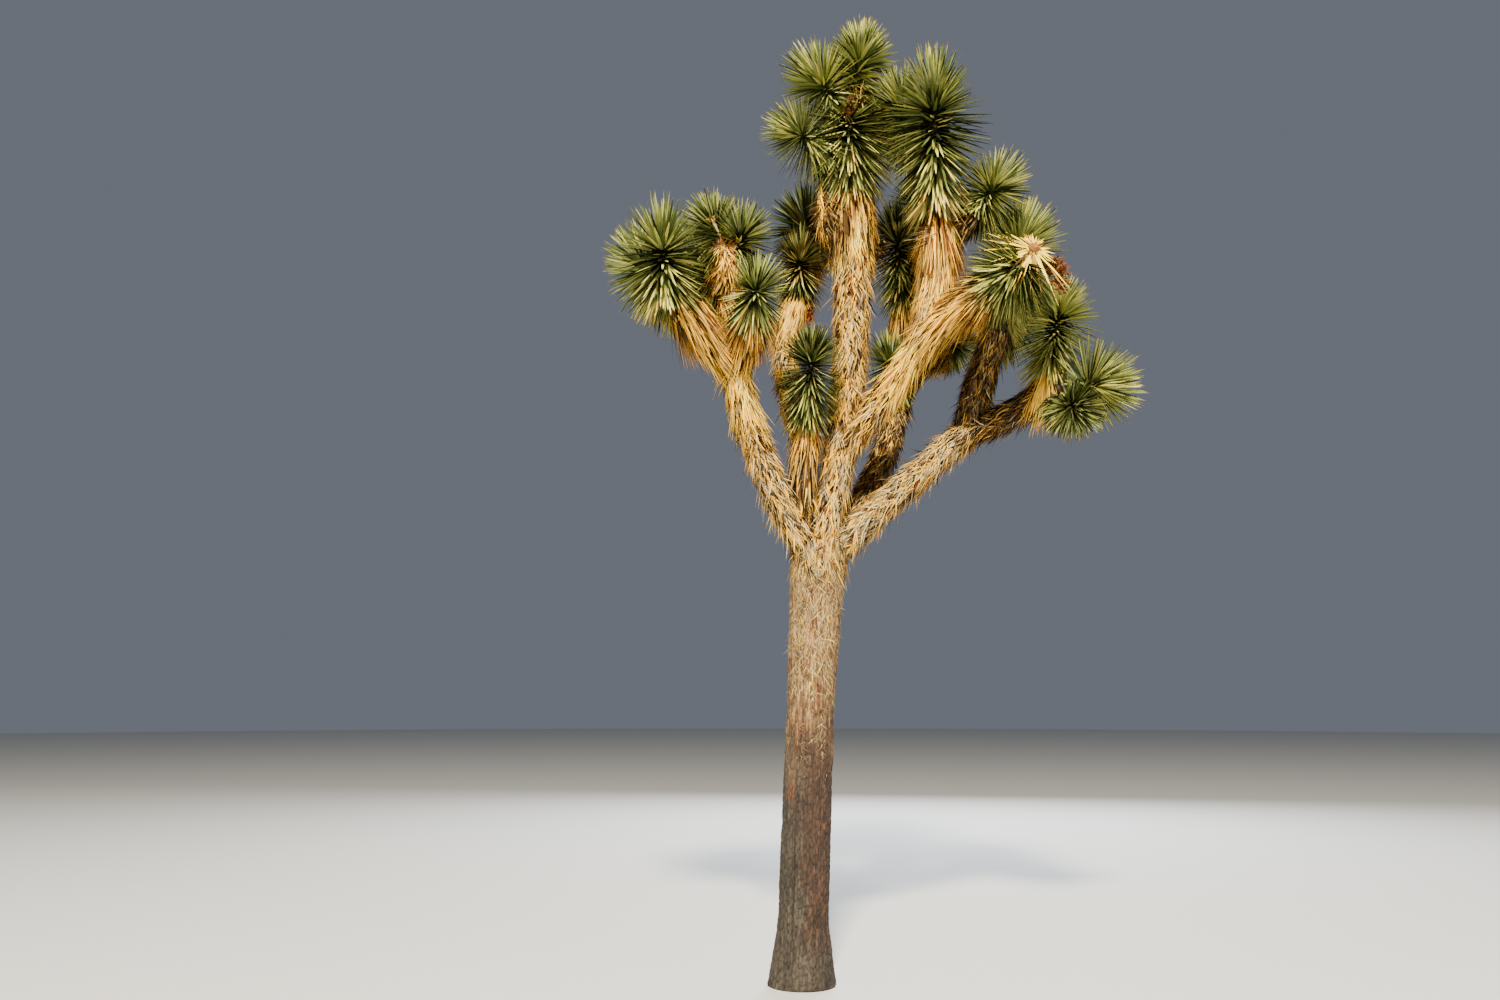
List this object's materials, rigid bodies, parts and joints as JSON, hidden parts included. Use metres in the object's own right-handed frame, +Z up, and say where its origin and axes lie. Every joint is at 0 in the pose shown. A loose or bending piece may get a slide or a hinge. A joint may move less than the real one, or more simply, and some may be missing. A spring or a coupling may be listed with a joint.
{
  "type": "joshua tree",
  "caption": "Tree yucca with a leaning trunk, forked boughs clad in dead leaves and round heads of stiff pointed green leaves at their tips, cut flat at ground level.",
  "frame": {"origin": "middle of the flat cut under the trunk, at ground level", "axes": "+Z up, +X to the right and +Y to the back as the picture sees the tree"},
  "size_m": [2.9739, 1.7914, 5.5008],
  "materials": {
    "bark": "rough fissured bark",
    "thatch": "dry dead leaves",
    "leaves": "waxy green leaves",
    "stalk": "dry flower stalk"
  },
  "bodies": {
    "root": {"trunk": "bark", "central_bough": "thatch", "left_bough": "thatch", "low_right_bough": "thatch", "mid_left_bough": "thatch", "back_bough": "thatch", "left_arm": "thatch", "left_stub": "thatch", "left_inner_arm": "thatch", "mid_left_arm": "thatch", "mid_back_arm": "thatch", "upper_bough": "thatch", "crown_stem": "thatch", "right_bough": "thatch", "right_column": "thatch", "right_high_arm": "thatch", "right_back_arm": "thatch", "right_side_arm": "thatch", "side_stem": "thatch", "low_right_riser": "thatch", "low_right_arm": "thatch", "far_right_arm": "thatch", "back_left_arm": "thatch", "back_right_arm": "thatch", "far_back_arm": "thatch", "right_old_stalk": "stalk", "left_old_stalk": "stalk", "left_head": "leaves", "left_outer_head": "leaves", "left_back_head": "leaves", "left_high_head": "leaves", "left_small_head": "leaves", "left_front_head": "leaves", "mid_front_head": "leaves", "mid_head": "leaves", "mid_back_head": "leaves", "crown_head": "leaves", "top_head": "leaves", "top_left_head": "leaves", "top_side_head": "leaves", "top_back_head": "leaves", "right_head": "leaves", "right_back_head": "leaves", "right_high_head": "leaves", "right_side_head": "leaves", "riser_head": "leaves", "riser_back_head": "leaves", "low_right_head": "leaves", "low_outer_head": "leaves", "low_under_head": "leaves", "back_left_head": "leaves", "back_low_head": "leaves", "back_right_head": "leaves", "far_right_head": "leaves", "far_back_head": "leaves"}
  },
  "joints": []
}
